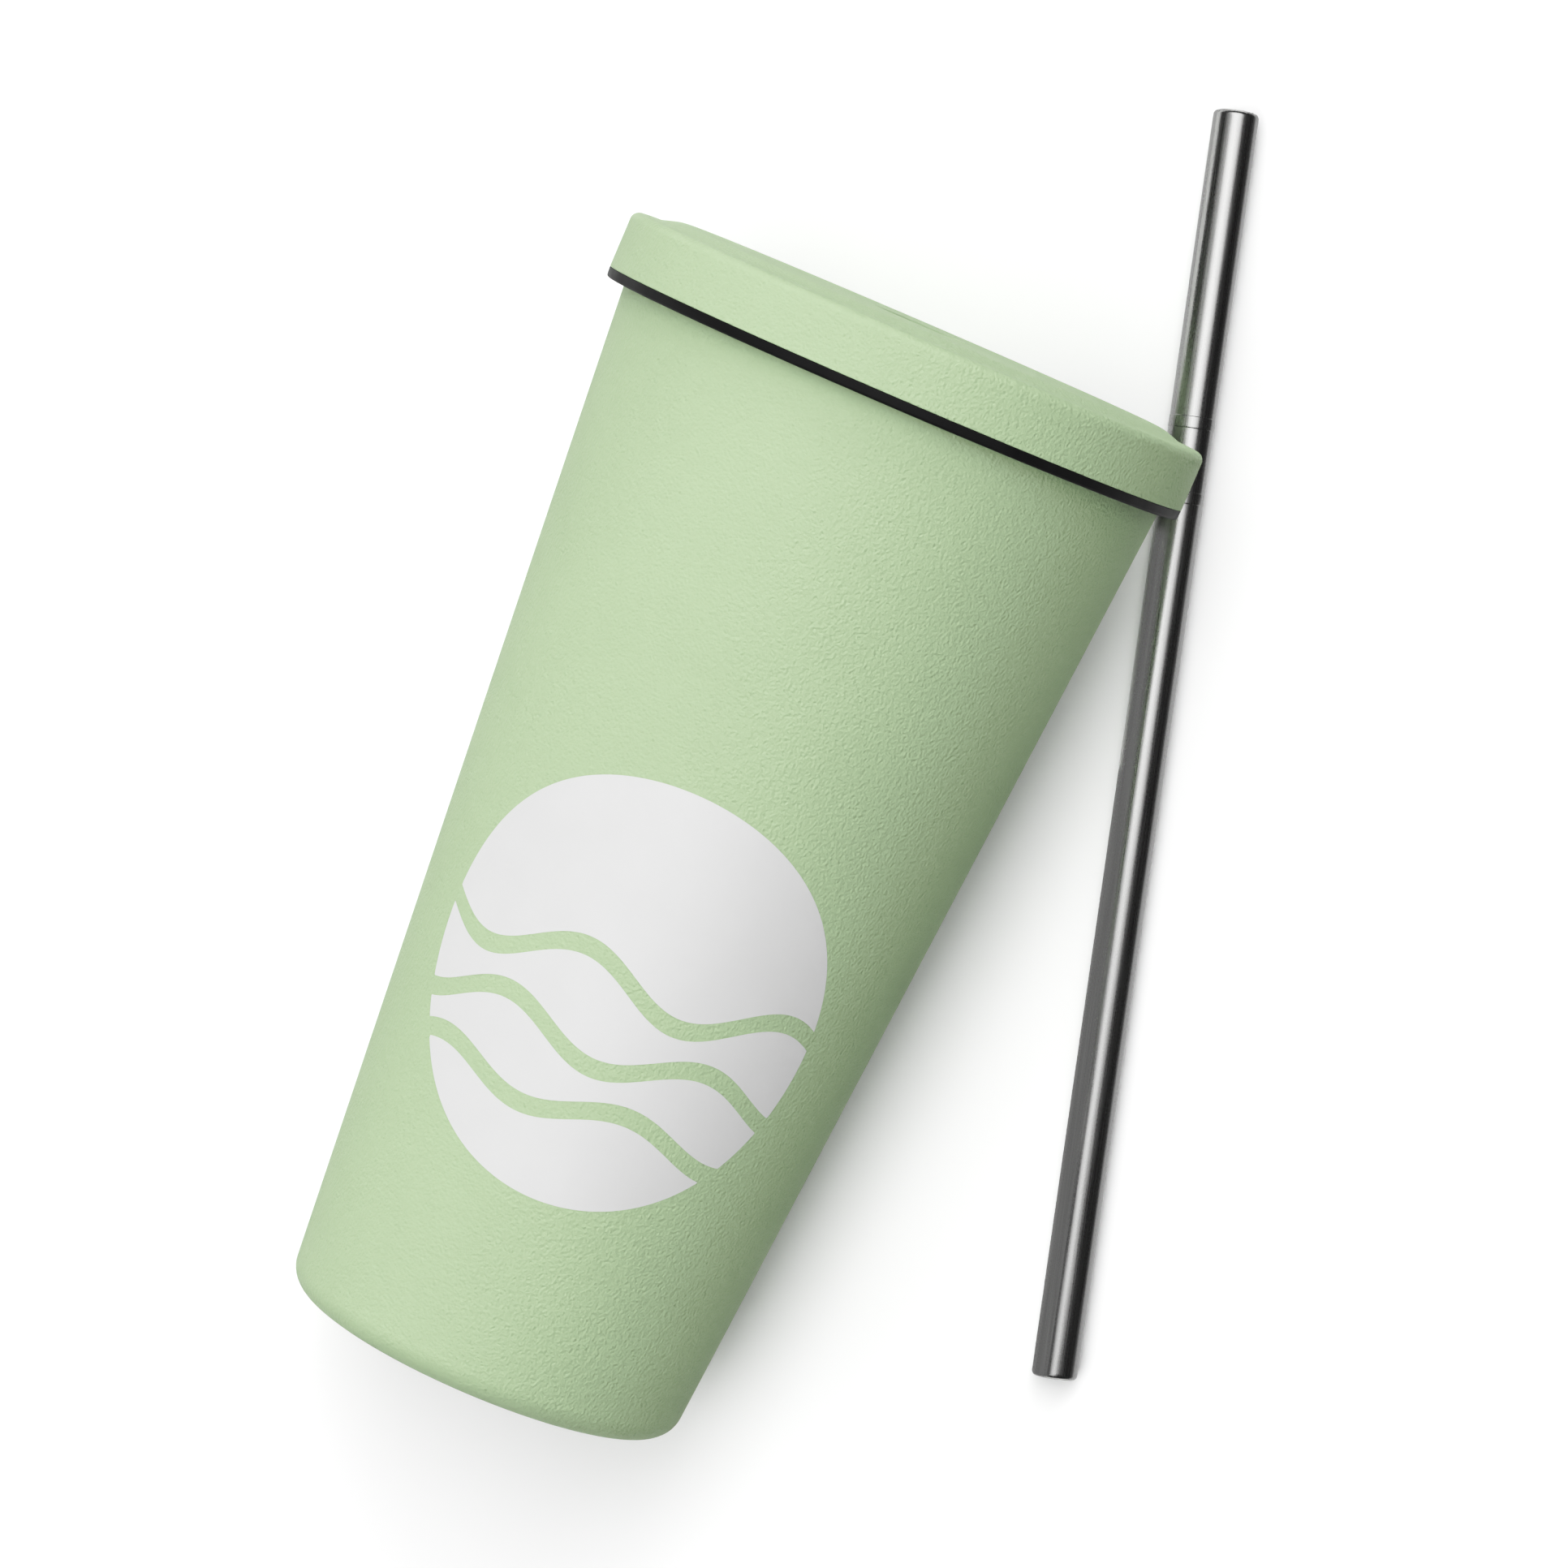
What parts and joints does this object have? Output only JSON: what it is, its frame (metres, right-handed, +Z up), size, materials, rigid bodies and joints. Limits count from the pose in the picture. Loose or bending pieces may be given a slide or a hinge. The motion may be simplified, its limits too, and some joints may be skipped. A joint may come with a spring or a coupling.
{
  "type": "insulated travel mug with straw",
  "caption": "Tapered double-walled steel travel mug with a press-in straw lid and silicone gasket, lying beside its steel drinking straw.",
  "frame": {"origin": "middle of the footprint of the mug and straw as they lie, on the surface they lie on", "axes": "+X along the ground from the mug's base to its lid, +Z up, the straw lies on the -Y side; the mug's own axis is in a plane parallel to XZ and rises 5.4 degrees towards the lid"},
  "size_m": [0.236, 0.1388, 0.0969],
  "materials": {
    "powder_coat_green": "matte powder coat with a fine orange-peel texture",
    "lid_paint_green": "matte textured paint matching the cup",
    "black_silicone": "matte black silicone",
    "plug_plastic": "satin moulded plastic",
    "liner_steel": "brushed round the axis",
    "straw_steel": "finely brushed along its length",
    "steel": "plain pressed sheet",
    "reflective_foil": "thin bright foil",
    "solder_glass": "fused dark glass bead",
    "getter_alloy": "sintered dark grey"
  },
  "bodies": {
    "cup": {"outer_shell": "powder_coat_green", "base_plate": "steel", "vacuum_end_plate": "steel", "vacuum_seal_bead": "solder_glass", "getter_pill": "getter_alloy", "getter_clip": "steel", "foil_wrap": "reflective_foil", "liner_wall": "liner_steel", "liner_bottom": "liner_steel"},
    "lid": {"lid_cap": "lid_paint_green", "lid_plug": "plug_plastic", "lid_gasket": "black_silicone", "straw_grommet": "black_silicone"},
    "straw": {"straw": "straw_steel"}
  },
  "joints": [
    {"name": "lid_pull", "type": "slide", "parent": "cup", "child": "lid", "axis": [0.9956, 0, 0.0942], "range_m": [0, 0.06]},
    {"name": "straw_pickup", "type": "slide", "parent": "cup", "child": "straw", "axis": [0.2247, -0.8364, 0.5], "range_m": [0, 0.1]}
  ]
}
